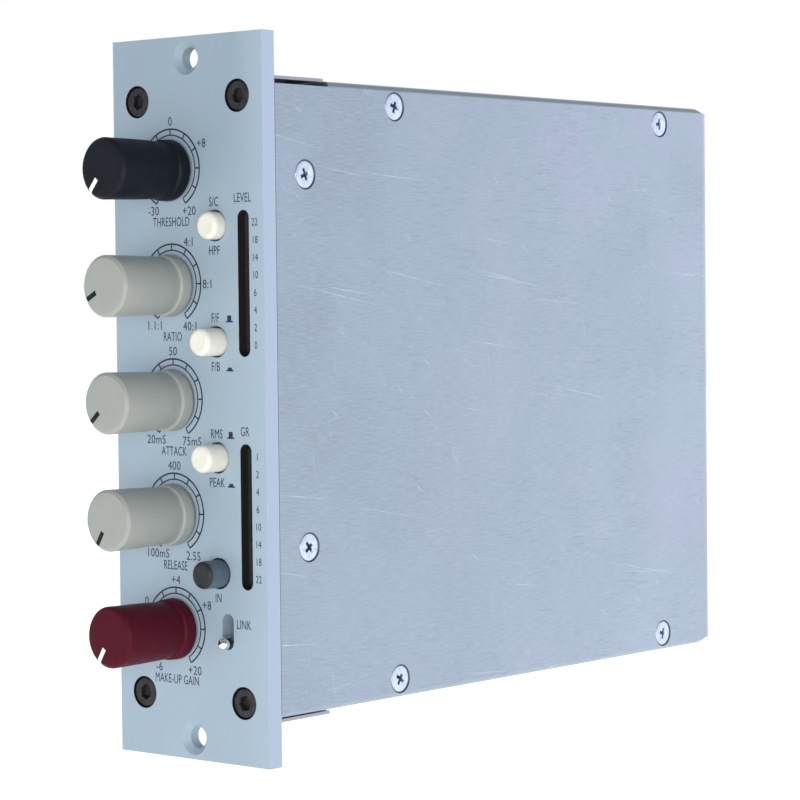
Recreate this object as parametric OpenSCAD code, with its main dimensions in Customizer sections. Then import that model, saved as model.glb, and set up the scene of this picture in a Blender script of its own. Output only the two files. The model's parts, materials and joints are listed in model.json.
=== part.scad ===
// Single-width compressor module for a card-frame audio rack.
// Frame: +X to the right seen from the front, +Y into the rack, +Z up.
// Origin: centre of the front panel's back face, midway between its two rack screws.
// All lengths are in millimetres, all angles in degrees.

/* [Front panel] */
// Width of the front panel
panel_w = 38.1; // [38:0.05:38.2]
// Height of the front panel
panel_h = 133.35; // [133:0.05:133.5]
// Thickness of the front panel
panel_t = 3.175; // [3:0.025:3.3]
// Distance between the two rack screws, centre to centre
rack_gap = 125.4; // [125:0.1:126]
// Diameter of each rack screw hole
rack_hole_d = 4; // [3.6:0.1:4.2]
// Diameter of the rack screw countersink at the front face
rack_sink_d = 6.3; // [5.6:0.1:6.8]

/* [Control layout] */
// Height from one control row to the next
row_pitch = 21.2; // [21:0.05:21.4]
// Drop of the five knobs below their row heights
knob_drop = 0.23; // [0:0.01:0.25]
// Sideways place of the five knobs
knob_x = -4.15; // [-4.4:0.05:-3.9]
// Sideways place of the four push buttons
button_x = 6.85; // [6.7:0.05:7]
// Sideways place of the two light slots
slot_x = 13.95; // [13.7:0.05:14]
// Sideways place of the link lever
lever_x = 8.95; // [8.8:0.05:9.1]

/* [Knobs] */
// Diameter of a knob's grip
knob_d = 11.25; // [10.8:0.05:11.3]
// Diameter of the skirt at a knob's foot
skirt_d = 11.4; // [11.3:0.05:11.7]
// Height of the skirt
skirt_h = 2.4; // [1.5:0.1:3]
// Reach of a knob's face beyond the front panel
knob_reach = 17.6; // [16:0.1:19]
// Gap between a knob's foot and the front panel
knob_gap = 0.65; // [0.4:0.05:0.8]
// Angles of the five pointers from straight up, top knob first
pointer_angles = [-141, -119, -133, -150, -150]; // [-150:1:150]

/* [Push buttons] */
// Diameter of a button cap
cap_d = 5.1; // [4.8:0.1:5.2]
// Reach of a button that is out, beyond the front panel
cap_reach = 4.8; // [4.4:0.1:5.2]
// Travel from out to latched in
latch_travel = 2.3; // [2:0.1:2.6]

/* [Link lever] */
// Diameter of the lever's ball
ball_d = 2.3; // [2:0.1:2.4]
// Tilt of the lever from level at each end of its throw
lever_tilt = 15; // [10:1:16]

/* [Case] */
// Thickness of the zinc-plated sheet
sheet_t = 1; // [0.8:0.1:1.2]
// Thickness of the bracket behind the panel
bracket_t = 0.6; // [0.5:0.05:1]
// Outside width of the case
case_w = 37.2; // [36.8:0.1:37.4]
// Outside height of the case over the side cover's flanges
case_h = 116.2; // [115.8:0.1:116.4]
// Rise of the case above the middle of the front panel
case_lift = 0.2; // [0:0.05:0.2]
// Depth of the case behind the front panel
case_depth = 140.8; // [140:0.1:143]
// Radius of the bend at the case's rear edge
rear_bend_r = 3; // [2:0.1:3.5]
// Reach of the card edge behind the case
edge_reach = 10.8; // [9:0.1:12]

/* [Hidden] */

$fn = 64;
// How far a cutting shape runs past the face that it cuts
past = 1;

// Places
panel_front = -panel_t;
knob_face = panel_front - knob_reach;
knob_foot = panel_front - knob_gap;
side_in = case_w / 2 - sheet_t;
side_out = case_w / 2;
sheet_gap = 0.05;
plate_half_h = case_h / 2 - sheet_t;
wall_out = plate_half_h - sheet_gap;
front_gap = 0.6;
bracket_back = 16;
tab_depth = 14.8;
bracket_half_h = 58.8;
flange_half_h = 47;

// Rows of the controls, as heights from the panel's centre
knob_rows = [for (i = [2:-1:-2]) i * row_pitch - knob_drop];
button_rows = [for (i = [3:-2:-3]) i * row_pitch / 2];
light_rows = [row_pitch, -row_pitch];
lever_z = -2 * row_pitch;

// Panel openings
corner_x = 12.75;
corner_z = 55.2;
corner_sink_d = 5.9;
corner_sink_depth = 2.2;
corner_hole_d = 3.2;
shaft_hole_d = 7.4;
cap_hole_d = 5.8;
light_slot_w = 2.7;
light_slot_h = 26.5;
lever_slot_w = 2.85;
lever_slot_h = 6.6;

// Controls
shaft_r = 3;
running_gap = 0.05;
bush_r = 3.45;
bush_front = -1;
shaft_front = knob_face + 3.5;
shaft_back = 10.4;
pot_size = [9.8, 6.9, 11.4];
pot_front = 4.9;
board_front = 11.8;
board_t = 1.6;
pointer_w = 0.95;
pointer_depth = 0.5;
pointer_start = 2.4;
pointer_drop = 1.2;
switch_size = [6.6, 8.9, 6.6];
switch_front = 2.9;
plunger_w = 2.4;
plunger_back = 6.5;
cap_len = 6.6;
socket_depth = 2.1;
socket_end_gap = 0.1;
ball_front = -1.05;
ball_y = panel_front + ball_front;
pivot_y = 3.4;
pin_r = 0.5;
pin_len = 5.6;

// Main board: its plane stands left of the middle, with its parts on the +X side
main_x = -4.8;
main_half_h = 52;
main_front = 16.5;
main_back = 136.2;
edge_half_h = 31.3;
edge_back = case_depth + edge_reach;
contact_pitch = 3.96;
contact_count = 15;
part_x = main_x + board_t;
standoff_places = [[26, 46], [26, -46], [126, 44], [126, -44]];
spacer_places = [[-13, 31.8], [-13, -31.8], [12, 0]];

// Screws of the case, as depth and height: into the bracket, and into the chassis's lugs
bracket_screw_places = [[8.6, 41], [8.6, -27.3]];
lug_depths = [34.1, 121.6];
lug_screw_z = 54.4;
cover_screw_places = concat(bracket_screw_places,
    [for (y = lug_depths, s = [-1, 1]) [y, s * lug_screw_z]]);
wall_screw_places = concat(bracket_screw_places, standoff_places);

// Screw sizes
flat_head_d = 5;
flat_head_h = 0.9;
head_sunk = 0.05;
shank_d = 2.4;
screw_len = 5;
flat_screw_len = 3.4;
tap_r = 1.25;
clear_r = 1.6;
sink_d = 5.5;

// ---- shared shapes ----

// Cylinder along +Y from y0 to y1
module rod_y(r, y0, y1) {
    translate([0, y0, 0]) rotate([-90, 0, 0]) cylinder(r = r, h = y1 - y0);
}

// Cylinder along +X from x0 to x1
module rod_x(r, x0, x1) {
    translate([x0, 0, 0]) rotate([0, 90, 0]) cylinder(r = r, h = x1 - x0);
}

// Block from its lowest corner to its highest corner
module block(low, high) {
    translate(low) cube(high - low);
}

// Upright slot with round ends, cut along Y
module slot_y(w, h, y0, y1) {
    translate([0, y1, 0]) rotate([90, 0, 0]) linear_extrude(y1 - y0) {
        square([w, h - w], center = true);
        for (s = [-1, 1]) translate([0, s * (h - w) / 2]) circle(d = w);
    }
}

// Copies of the children at the two heights +z and -z
module above_and_below(z) {
    for (s = [-1, 1]) translate([0, 0, s * z]) children();
}

// Four copies of the children at the panel's corner screws
module at_corners() {
    for (sx = [-1, 1], sz = [-1, 1]) translate([sx * corner_x, 0, sz * corner_z]) children();
}

// Cross-shaped driver recess, cut along +X from the plane x = 0 towards -X
module cross_recess(reach, depth) {
    arm = reach * 0.36;
    translate([-depth, -reach / 2, -arm / 2]) cube([depth + past, reach, arm]);
    translate([-depth, -arm / 2, -reach / 2]) cube([depth + past, arm, reach]);
}

// Countersunk screw whose flat head lies in the plane x = 0, with its shank towards -X
module flat_screw() {
    difference() {
        union() {
            translate([-flat_head_h, 0, 0]) rotate([0, 90, 0])
                cylinder(r1 = shank_d / 2, r2 = flat_head_d / 2, h = flat_head_h);
            rod_x(shank_d / 2, -flat_screw_len, -flat_head_h);
        }
        cross_recess(flat_head_d * 0.52, flat_head_h * 0.7);
    }
}

// Round-headed screw: its head starts at x = 0 and its shank runs towards -X
module round_screw() {
    dome_d = 5;
    dome_h = 1.6;
    rim_h = 0.9;
    difference() {
        union() {
            rod_x(dome_d / 2, 0, rim_h);
            translate([rim_h, 0, 0]) rotate([0, 90, 0])
                cylinder(d1 = dome_d, d2 = dome_d * 0.66, h = dome_h - rim_h);
            rod_x(shank_d / 2, -screw_len, 0);
        }
        translate([dome_h, 0, 0]) cross_recess(dome_d * 0.5, dome_h * 0.6);
    }
}

// Hexagonal spacer along +Z with a tapped hole right through
module hex_spacer(len) {
    across_flats = 5;
    difference() {
        cylinder(d = across_flats / cos(30), h = len, $fn = 6);
        translate([0, 0, -past]) cylinder(r = tap_r, h = len + 2 * past);
    }
}

// Clear hole and countersink in a wall, cut along +Z from the wall's outer face at z = 0
module sunk_hole() {
    translate([0, 0, -past]) cylinder(r = clear_r, h = 2 * sheet_t + past);
    cylinder(r1 = sink_d / 2, r2 = clear_r, h = sheet_t * 0.95);
}

// ---- panel and case ----

module front_panel() {
    sink_depth = (rack_sink_d - rack_hole_d) / 2;
    color([0.66, 0.72, 0.79]) difference() {
        block([-panel_w / 2, panel_front, -panel_h / 2], [panel_w / 2, 0, panel_h / 2]);
        above_and_below(rack_gap / 2) {
            rod_y(rack_hole_d / 2, panel_front - past, past);
            translate([0, panel_front, 0]) rotate([-90, 0, 0])
                cylinder(r1 = rack_sink_d / 2, r2 = rack_hole_d / 2, h = sink_depth);
        }
        at_corners() {
            rod_y(corner_hole_d / 2, panel_front - past, past);
            rod_y(corner_sink_d / 2, panel_front - past, panel_front + corner_sink_depth);
        }
        for (z = knob_rows)
            translate([knob_x, 0, z]) rod_y(shaft_hole_d / 2, panel_front - past, past);
        for (z = button_rows)
            translate([button_x, 0, z]) rod_y(cap_hole_d / 2, panel_front - past, past);
        for (z = light_rows)
            translate([slot_x, 0, z]) slot_y(light_slot_w, light_slot_h, panel_front - past, past);
        translate([lever_x, 0, lever_z])
            slot_y(lever_slot_w, lever_slot_h, panel_front - past, past);
    }
}

// Folded sheet behind the panel: a plate, two side flanges, and a tab above and below
module front_bracket() {
    color([0.66, 0.7, 0.76]) difference() {
        union() {
            block([-side_in, 0, -bracket_half_h], [side_in, bracket_t, bracket_half_h]);
            for (s = [-1, 1])
                translate([s * (side_in - bracket_t / 2), bracket_back / 2, 0])
                    cube([bracket_t, bracket_back, 2 * flange_half_h], center = true);
            above_and_below(bracket_half_h - bracket_t / 2)
                translate([0, tab_depth / 2, 0])
                    cube([2 * side_in, tab_depth, bracket_t], center = true);
        }
        at_corners() rod_y(tap_r, -past, bracket_t + past);
        for (z = knob_rows)
            translate([knob_x, 0, z]) rod_y(shaft_hole_d / 2, -past, bracket_t + past);
        for (z = button_rows)
            translate([button_x, 0, z]) rod_y(cap_hole_d / 2, -past, bracket_t + past);
        for (z = light_rows)
            translate([slot_x, 0, z]) slot_y(light_slot_w, light_slot_h, -past, bracket_t + past);
        translate([lever_x, 0, lever_z])
            slot_y(lever_slot_w, lever_slot_h, -past, bracket_t + past);
        for (p = bracket_screw_places, s = [-1, 1])
            translate([s * side_in, p[0], p[1]]) rod_x(tap_r, -2 * sheet_t, 2 * sheet_t);
    }
}

// Top wall of the case, from just behind the control board to the rear bend, with the two lugs
// that the side cover's screws bite into
module case_roof() {
    inner_bend_r = rear_bend_r - sheet_t - sheet_gap;
    bend_y = case_depth - rear_bend_r;
    bend_x = side_out - rear_bend_r;
    board_gap = 0.4;
    roof_front = board_front + board_t + board_gap;
    lug_h = 7;
    lug_w = 9;
    translate([0, 0, wall_out - sheet_t]) linear_extrude(sheet_t) {
        translate([-side_out, roof_front])
            square([side_out + side_in - sheet_gap, bend_y - roof_front]);
        translate([-side_out, bend_y - past]) square([side_out + bend_x, inner_bend_r + past]);
        translate([bend_x, bend_y]) circle(r = inner_bend_r);
    }
    for (y = lug_depths)
        block([side_in - sheet_t, y - lug_w / 2, wall_out - lug_h],
            [side_in, y + lug_w / 2, wall_out - sheet_t / 2]);
}

module chassis() {
    color([0.66, 0.71, 0.78]) difference() {
        translate([0, 0, case_lift]) {
            block([-side_out, front_gap, -wall_out],
                [-side_in, case_depth - sheet_t - sheet_gap, wall_out]);
            case_roof();
            mirror([0, 0, 1]) case_roof();
        }
        for (p = wall_screw_places)
            translate([-side_out, p[0], p[1]]) rotate([0, 90, 0]) sunk_hole();
        for (y = lug_depths)
            above_and_below(lug_screw_z)
                translate([side_in, y, 0]) rod_x(tap_r, -2 * sheet_t, 2 * sheet_t);
    }
}

// Upper flange of the side cover from y = front back to the rear bend: the bend, the flat
// part over the case's top wall, and the slanting rear end
module cover_flange(front) {
    flange_w = 10;
    slant_l = 2.6;
    back = case_depth - rear_bend_r;
    difference() {
        translate([0, back, 0]) rotate([90, 0, 0]) linear_extrude(back - front) {
            translate([side_in, plate_half_h]) intersection() {
                circle(r = sheet_t);
                square(sheet_t);
            }
            translate([side_in - flange_w, plate_half_h]) square([flange_w, sheet_t]);
            translate([side_in, plate_half_h - past]) square([sheet_t, past]);
        }
        translate([side_in - flange_w - past, 0, 0]) rotate([90, 0, 90])
            linear_extrude(flange_w + sheet_t + 2 * past)
                polygon([[back - slant_l, plate_half_h + sheet_t], [back, plate_half_h],
                    [back + past, plate_half_h], [back + past, plate_half_h + 2 * sheet_t],
                    [back - slant_l, plate_half_h + 2 * sheet_t]]);
    }
}

// Folded side cover: the side plate, its upper and lower flanges, and the rear wall with the
// slot for the card edge
module side_cover() {
    tab_gap = 0.3;
    upper_front = tab_depth + tab_gap;
    slot_half_w = 2.6;
    slot_half_h = edge_half_h + 1.2;
    bend_x = side_out - rear_bend_r;
    bend_y = case_depth - rear_bend_r;
    color([0.65, 0.7, 0.78]) difference() {
        translate([0, 0, case_lift]) {
            translate([0, 0, -plate_half_h]) linear_extrude(2 * plate_half_h) {
                translate([side_in, front_gap]) square([sheet_t, bend_y - front_gap]);
                translate([-side_out, case_depth - sheet_t]) square([side_out + bend_x, sheet_t]);
                intersection() {
                    translate([bend_x, bend_y]) difference() {
                        circle(r = rear_bend_r);
                        circle(r = rear_bend_r - sheet_t);
                    }
                    translate([bend_x, bend_y]) square(rear_bend_r);
                }
            }
            cover_flange(upper_front);
            mirror([0, 0, 1]) cover_flange(front_gap);
        }
        for (p = cover_screw_places)
            translate([side_out, p[0], p[1]]) rotate([0, -90, 0]) sunk_hole();
        block([main_x + board_t / 2 - slot_half_w, case_depth - 2 * sheet_t, -slot_half_h],
            [main_x + board_t / 2 + slot_half_w, case_depth + past, slot_half_h]);
    }
}

// ---- screws ----

module cover_screws() {
    color([0.86, 0.9, 0.95]) for (p = cover_screw_places)
        translate([side_out - head_sunk, p[0], p[1]]) flat_screw();
}

// Six screws through the left wall: two into the bracket's flange, four into the spacers
module wall_screws() {
    color([0.86, 0.9, 0.95]) for (p = wall_screw_places)
        translate([-side_out + head_sunk, p[0], p[1]]) mirror([1, 0, 0]) flat_screw();
}

// Black low-head socket screws, sunk in the panel and threaded into the bracket
module panel_screws() {
    low_head_d = 5.5;
    low_head_h = 2;
    key_w = 2.5;
    key_depth = 1.3;
    floor_y = panel_front + corner_sink_depth;
    head_front = floor_y - low_head_h;
    color([0.08, 0.08, 0.09]) at_corners() difference() {
        union() {
            rod_y(low_head_d / 2, head_front, floor_y);
            rod_y(shank_d / 2, floor_y, floor_y + screw_len);
        }
        translate([0, head_front + key_depth, 0]) rotate([90, 0, 0])
            cylinder(d = key_w / cos(30), h = key_depth + past, $fn = 6);
    }
}

// ---- boards ----

module main_board() {
    color([0.1, 0.36, 0.2]) difference() {
        union() {
            block([main_x, main_front, -main_half_h], [part_x, main_back, main_half_h]);
            block([main_x, main_back - past, -edge_half_h], [part_x, edge_back, edge_half_h]);
        }
        for (p = standoff_places)
            translate([main_x, p[0], p[1]]) rod_x(clear_r, -past, 3 * board_t);
    }
}

// Gold fingers on both faces of the card edge
module edge_contacts() {
    finger_w = 2.6;
    finger_t = 0.1;
    finger_len = 9;
    finger_inset = 0.6;
    color([0.85, 0.68, 0.28])
        for (i = [0:contact_count - 1], x = [main_x - finger_t, part_x])
            translate([x, edge_back - finger_len - finger_inset,
                    (i - (contact_count - 1) / 2) * contact_pitch - finger_w / 2])
                cube([finger_t, finger_len, finger_w]);
}

// Hexagonal spacers between the left wall and the main board
module board_standoffs() {
    color([0.8, 0.82, 0.85]) for (p = standoff_places)
        translate([-side_in, p[0], p[1]]) rotate([0, 90, 0]) hex_spacer(main_x + side_in);
}

module board_screws() {
    color([0.86, 0.88, 0.9]) for (p = standoff_places)
        translate([part_x, p[0], p[1]]) round_screw();
}

module control_board() {
    board_half_w = 16;
    board_half_h = 56;
    color([0.1, 0.36, 0.2]) difference() {
        block([-board_half_w, board_front, -board_half_h],
            [board_half_w, board_front + board_t, board_half_h]);
        for (p = spacer_places)
            translate([p[0], 0, p[1]]) rod_y(clear_r, board_front - past, board_front + 2 * board_t);
    }
}

// Three spacers between the bracket and the control board
module control_spacers() {
    color([0.8, 0.82, 0.85]) for (p = spacer_places)
        translate([p[0], bracket_t, p[1]]) rotate([-90, 0, 0]) hex_spacer(board_front - bracket_t);
}

module spacer_screws() {
    color([0.86, 0.88, 0.9]) for (p = spacer_places)
        translate([p[0], board_front + board_t, p[1]]) rotate([0, 0, 90]) round_screw();
}

// Right-angle pin header that joins the two boards
module board_header() {
    housing_back = 16.2;
    housing_w = 2.6;
    pin_len = 5;
    pin_side = 1;
    pin_pitch = 2.54;
    pin_count = 20;
    pin_w = 0.6;
    half_len = pin_count * pin_pitch / 2;
    color([0.12, 0.12, 0.13])
        block([part_x, board_front + board_t, -half_len], [part_x + housing_w, housing_back, half_len]);
    color([0.85, 0.7, 0.35]) for (i = [0:pin_count - 1])
        translate([part_x + pin_side, housing_back, (i + 0.5) * pin_pitch - half_len - pin_w / 2])
            cube([pin_w, pin_len, pin_w]);
}

// ---- rotary controls ----

// Potentiometer: a square body on the control board and a round bush through the panel
module pot(row) {
    bore_end_gap = 0.3;
    color([0.3, 0.32, 0.34]) translate([knob_x, 0, knob_rows[row]]) difference() {
        union() {
            translate([-pot_size[0] / 2, pot_front, -pot_size[2] / 2]) cube(pot_size);
            rod_y(bush_r, bush_front, pot_front + past);
        }
        rod_y(shaft_r + running_gap, bush_front - past, shaft_back + bore_end_gap);
    }
}

// Pot shaft with a flat at its front end
module shaft(row) {
    flat_depth = 1.2;
    flat_back = -6;
    color([0.75, 0.76, 0.78]) translate([knob_x, 0, knob_rows[row]])
        rotate([0, pointer_angles[row], 0]) difference() {
            rod_y(shaft_r, shaft_front, shaft_back);
            translate([-shaft_r - past, shaft_front - past, shaft_r - flat_depth])
                cube([2 * (shaft_r + past), flat_back - shaft_front + past, flat_depth + past]);
        }
}

// Outline of a knob as radius against depth, with its face at zero: a bevelled rim, a grip
// that narrows to a neck, and a skirt that flares from it
module knob_outline() {
    rim = 0.55;
    grip_taper = 0.4;
    neck_len = 0.6;
    flare_len = 0.5;
    skirt_taper = 0.12;
    depth = knob_foot - knob_face;
    neck_r = knob_d / 2 - grip_taper;
    neck_back = depth - skirt_h - flare_len;
    neck_front = neck_back - neck_len;
    polygon([[0, 0], [knob_d / 2 - rim, 0], [knob_d / 2, rim], [neck_r, neck_front],
        [neck_r, neck_back], [skirt_d / 2 - skirt_taper, depth - skirt_h],
        [skirt_d / 2, depth], [0, depth]]);
}

// The knob before its pointer groove and shaft bore are cut
module knob_blank() {
    translate([0, knob_face, 0]) rotate([-90, 0, 0]) rotate_extrude() knob_outline();
}

// The pointer's groove: across the face from part way out, and over the edge
module pointer_bar() {
    translate([-pointer_w / 2, knob_face - past, pointer_start])
        cube([pointer_w, pointer_depth + past, knob_d / 2]);
    translate([-pointer_w / 2, knob_face - past, knob_d / 2 - pointer_depth])
        cube([pointer_w, pointer_drop + past, pointer_depth + past]);
}

module knob(row) {
    tints = [[0.1, 0.11, 0.14], [0.72, 0.72, 0.69], [0.72, 0.72, 0.69], [0.72, 0.72, 0.69],
        [0.36, 0.1, 0.14]];
    bore_gap = 0.03;
    bore_front = 0.3;
    color(tints[row]) translate([knob_x, 0, knob_rows[row]])
        rotate([0, pointer_angles[row], 0]) difference() {
            knob_blank();
            rod_y(shaft_r + bore_gap, shaft_front - bore_front, knob_foot + past);
            pointer_bar();
        }
}

module pointer(row) {
    light = [0.95, 0.95, 0.93];
    dark = [0.08, 0.08, 0.09];
    is_grey_knob = row > 0 && row < 4;
    color(is_grey_knob ? dark : light) translate([knob_x, 0, knob_rows[row]])
        rotate([0, pointer_angles[row], 0]) intersection() {
            knob_blank();
            pointer_bar();
        }
}

// ---- push buttons ----

// Depth that a button is pressed: the top one is latched in, the others are out
function pressed(row) = row == 0 ? latch_travel : 0;

// Latching switch: a box on the control board with a square well for its plunger
module push_switch(row) {
    well_gap = 0.3;
    well_floor = 0.8;
    well_w = plunger_w + 2 * well_gap;
    color([0.16, 0.16, 0.18]) translate([button_x, 0, button_rows[row]]) difference() {
        translate([-switch_size[0] / 2, switch_front, -switch_size[2] / 2]) cube(switch_size);
        translate([-well_w / 2, switch_front - past, -well_w / 2])
            cube([well_w, board_front - switch_front + past - well_floor, well_w]);
    }
}

module plunger(row) {
    cap_back = panel_front - cap_reach + cap_len;
    color([0.9, 0.9, 0.88]) translate([button_x, pressed(row), button_rows[row]])
        block([-plunger_w / 2, cap_back - socket_depth + socket_end_gap, -plunger_w / 2],
            [plunger_w / 2, plunger_back, plunger_w / 2]);
}

// Button cap: a round cup with a soft front edge and a square socket for the plunger
module button_cap(row) {
    edge_r = 0.8;
    front_y = panel_front - cap_reach;
    socket_side_gap = 0.02;
    socket_w = plunger_w + 2 * socket_side_gap;
    tint = row == 3 ? [0.24, 0.26, 0.26] : [0.95, 0.94, 0.88];
    color(tint) translate([button_x, pressed(row), button_rows[row]]) difference() {
        translate([0, front_y, 0]) rotate([-90, 0, 0]) rotate_extrude() {
            square([cap_d / 2 - edge_r, edge_r]);
            intersection() {
                translate([cap_d / 2 - edge_r, edge_r]) circle(r = edge_r);
                square([cap_d / 2, edge_r]);
            }
            translate([0, edge_r]) square([cap_d / 2, cap_len - edge_r]);
        }
        translate([-socket_w / 2, front_y + cap_len - socket_depth, -socket_w / 2])
            cube([socket_w, socket_depth + past, socket_w]);
    }
}

// ---- link switch ----

// Small lever switch: a box with a well for the lever and a bore for its pivot pin
module link_switch() {
    body_w = 6.8;
    body_h = 9.6;
    front_y = 1.05;
    well_w = 2.8;
    well_h = 7.2;
    well_back = 7.6;
    bore_half_len = pin_len / 2 + 0.1;
    color([0.2, 0.22, 0.24]) translate([lever_x, 0, lever_z]) difference() {
        block([-body_w / 2, front_y, -body_h / 2], [body_w / 2, board_front, body_h / 2]);
        block([-well_w / 2, front_y - past, -well_h / 2], [well_w / 2, well_back, well_h / 2]);
        translate([0, pivot_y, 0]) rod_x(pin_r + running_gap, -bore_half_len, bore_half_len);
    }
}

// Chrome lever with a ball on its end, down at rest, on a pin along X
module link_lever() {
    stem_front_r = 0.75;
    stem_back_r = 0.95;
    tail = 2.4;
    arm = (pivot_y - ball_y) / cos(lever_tilt);
    color([0.85, 0.86, 0.88]) translate([lever_x, pivot_y, lever_z]) rotate([lever_tilt, 0, 0]) {
        translate([0, -arm, 0]) sphere(d = ball_d);
        translate([0, -arm, 0]) rotate([-90, 0, 0])
            cylinder(r1 = stem_front_r, r2 = stem_back_r, h = arm);
        rod_y(stem_back_r, -0.01, tail);
        rod_x(pin_r, -pin_len / 2, pin_len / 2);
    }
}

// ---- light bars ----

// Eight small lights behind one slot, each with its two legs to the control board
module lights(row) {
    light_pitch = 3.175;
    light_count = 8;
    lens_w = 2.2;
    lens_front = 1.4;
    lens_back = 6.4;
    leg_w = 0.5;
    leg_x = 0.6;
    leg_root = 0.1;
    tint = row == 0 ? [0.2, 0.75, 0.3] : [0.9, 0.7, 0.15];
    color(tint) for (i = [0:light_count - 1])
        translate([slot_x, 0, light_rows[row] + (i - (light_count - 1) / 2) * light_pitch]) {
            block([-lens_w / 2, lens_front, -lens_w / 2], [lens_w / 2, lens_back, lens_w / 2]);
            for (s = [-1, 1])
                translate([s * leg_x - leg_w / 2, lens_back - leg_root, -leg_w / 2])
                    cube([leg_w, board_front - lens_back + leg_root, leg_w]);
        }
}

// Smoked strip that fills the back of one slot
module window(row) {
    side_gap = 0.05;
    color([0.1, 0.1, 0.12, 0.8]) translate([slot_x, 0, light_rows[row]])
        slot_y(light_slot_w - 2 * side_gap, light_slot_h - 2 * side_gap, -1.4, bracket_t);
}

// ---- parts on the main board ----

// Block with four round upright edges, standing off the board along +X
module round_block(size, corner_r) {
    rotate([90, 0, 90]) linear_extrude(size[0]) {
        square([size[1] - 2 * corner_r, size[2]], center = true);
        square([size[1], size[2] - 2 * corner_r], center = true);
        for (sy = [-1, 1], sz = [-1, 1])
            translate([sy * (size[1] / 2 - corner_r), sz * (size[2] / 2 - corner_r)])
                circle(r = corner_r);
    }
}

module input_transformer() {
    can = [17, 24, 24];
    color([0.55, 0.56, 0.6]) translate([part_x, 112, 24]) {
        round_block(can, 3);
        round_block([1.2, can[1] + 3, can[2] + 3], 1);
    }
}

// Laminated core with a coil through it
module output_transformer() {
    core = [11, 26, 30];
    coil = [18, 18, 20];
    color([0.32, 0.3, 0.3]) translate([part_x, 110, -26]) {
        translate([(coil[0] - core[0]) / 2, 0, 0]) round_block(core, 0.5);
        round_block(coil, 2.5);
    }
}

module electrolytic_capacitors() {
    can_r = 4;
    can_h = 12;
    color([0.15, 0.17, 0.3]) for (y = [40:12:76], z = [-42, 42])
        translate([part_x, y, z]) rod_x(can_r, 0, can_h);
}

module film_capacitors() {
    film_size = [9, 4.5, 10];
    color([0.7, 0.2, 0.15]) for (y = [34:9:88])
        translate([part_x, y, 28]) round_block(film_size, 0.6);
}

module amplifier_chips() {
    chip_size = [3.4, 6.4, 9.8];
    color([0.08, 0.08, 0.09]) for (y = [36:13:88], z = [-24, -8, 8])
        translate([part_x, y, z]) round_block(chip_size, 0.3);
}

module bypass_relay() {
    relay_size = [10, 15, 8];
    color([0.9, 0.88, 0.8]) translate([part_x, 88, -44]) round_block(relay_size, 0.5);
}

front_panel();
front_bracket();
chassis();
side_cover();
cover_screws();
wall_screws();
panel_screws();
main_board();
edge_contacts();
board_standoffs();
board_screws();
control_board();
control_spacers();
spacer_screws();
board_header();
pot(0);  // threshold_pot
pot(1);  // ratio_pot
pot(2);  // attack_pot
pot(3);  // release_pot
pot(4);  // gain_pot
shaft(0);  // threshold_shaft
shaft(1);  // ratio_shaft
shaft(2);  // attack_shaft
shaft(3);  // release_shaft
shaft(4);  // gain_shaft
knob(0);  // threshold_knob
knob(1);  // ratio_knob
knob(2);  // attack_knob
knob(3);  // release_knob
knob(4);  // gain_knob
pointer(0);  // threshold_pointer
pointer(1);  // ratio_pointer
pointer(2);  // attack_pointer
pointer(3);  // release_pointer
pointer(4);  // gain_pointer
push_switch(0);  // filter_switch
push_switch(1);  // feed_switch
push_switch(2);  // detector_switch
push_switch(3);  // in_switch
plunger(0);  // filter_plunger
plunger(1);  // feed_plunger
plunger(2);  // detector_plunger
plunger(3);  // in_plunger
button_cap(0);  // filter_cap
button_cap(1);  // feed_cap
button_cap(2);  // detector_cap
button_cap(3);  // in_cap
link_switch();
link_lever();
lights(0);  // level_lights
lights(1);  // reduction_lights
window(0);  // level_window
window(1);  // reduction_window
input_transformer();
output_transformer();
electrolytic_capacitors();
film_capacitors();
amplifier_chips();
bypass_relay();
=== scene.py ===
import json
import math

import bmesh
import bpy
from mathutils import Matrix, Vector


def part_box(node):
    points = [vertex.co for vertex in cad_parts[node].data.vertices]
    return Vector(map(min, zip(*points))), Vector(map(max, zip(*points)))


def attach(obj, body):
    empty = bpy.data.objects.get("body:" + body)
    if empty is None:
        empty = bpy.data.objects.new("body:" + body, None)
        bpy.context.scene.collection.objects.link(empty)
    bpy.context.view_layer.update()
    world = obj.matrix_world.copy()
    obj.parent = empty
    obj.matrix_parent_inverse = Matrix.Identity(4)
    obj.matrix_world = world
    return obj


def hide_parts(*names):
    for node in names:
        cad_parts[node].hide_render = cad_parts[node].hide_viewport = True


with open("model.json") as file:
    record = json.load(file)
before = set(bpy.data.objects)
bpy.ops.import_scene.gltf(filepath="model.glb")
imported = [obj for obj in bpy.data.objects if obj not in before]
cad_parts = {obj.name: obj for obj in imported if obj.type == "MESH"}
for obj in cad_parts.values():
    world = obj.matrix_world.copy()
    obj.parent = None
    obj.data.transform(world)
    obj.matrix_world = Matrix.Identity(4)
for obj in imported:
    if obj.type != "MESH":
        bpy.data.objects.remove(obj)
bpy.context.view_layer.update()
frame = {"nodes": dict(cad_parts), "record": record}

# Everything below is written in millimetres and turned into metres by MM.
MM = 0.001
RECORD = frame["record"]
NODES = frame["nodes"]

KNOBS = ("threshold", "ratio", "attack", "release", "gain")
BUTTONS = ("filter", "feed", "detector", "in")
CASE = "case"


# ---------------------------------------------------------------- places read from the frame

def low_mm(node):
    """Lowest corner of a CAD node, in millimetres."""
    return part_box(node)[0] / MM


def high_mm(node):
    """Highest corner of a CAD node, in millimetres."""
    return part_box(node)[1] / MM


def middle_mm(node):
    """Centre of a CAD node's box, in millimetres."""
    return (low_mm(node) + high_mm(node)) / 2


PANEL_FRONT = low_mm("front_panel").y
PANEL_LOW, PANEL_HIGH = low_mm("front_panel"), high_mm("front_panel")


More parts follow.
